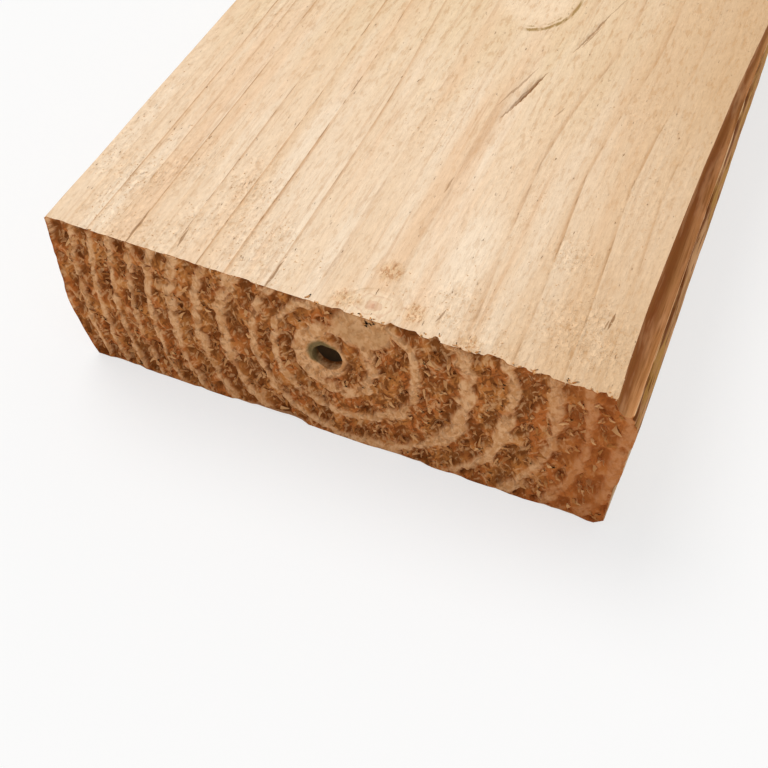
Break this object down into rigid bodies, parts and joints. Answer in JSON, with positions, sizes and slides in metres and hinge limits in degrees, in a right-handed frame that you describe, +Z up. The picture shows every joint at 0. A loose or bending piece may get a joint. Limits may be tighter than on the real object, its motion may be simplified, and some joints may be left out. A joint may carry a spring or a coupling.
{
  "type": "sawn timber plank",
  "caption": "Length of sawn softwood lying flat, with a torn arris, slight wane, a hollow pith and drying checks at one end.",
  "frame": {"origin": "middle of the underside, the broad face that the plank lies on", "axes": "+X across the width, towards the torn arris; +Y along the grain, away from the end with the hollow pith; +Z up, through the thickness"},
  "size_m": [0.15, 1.8, 0.047],
  "materials": {
    "wood": "bare rough-sawn softwood"
  },
  "bodies": {
    "root": {"plank": "wood"}
  },
  "joints": []
}
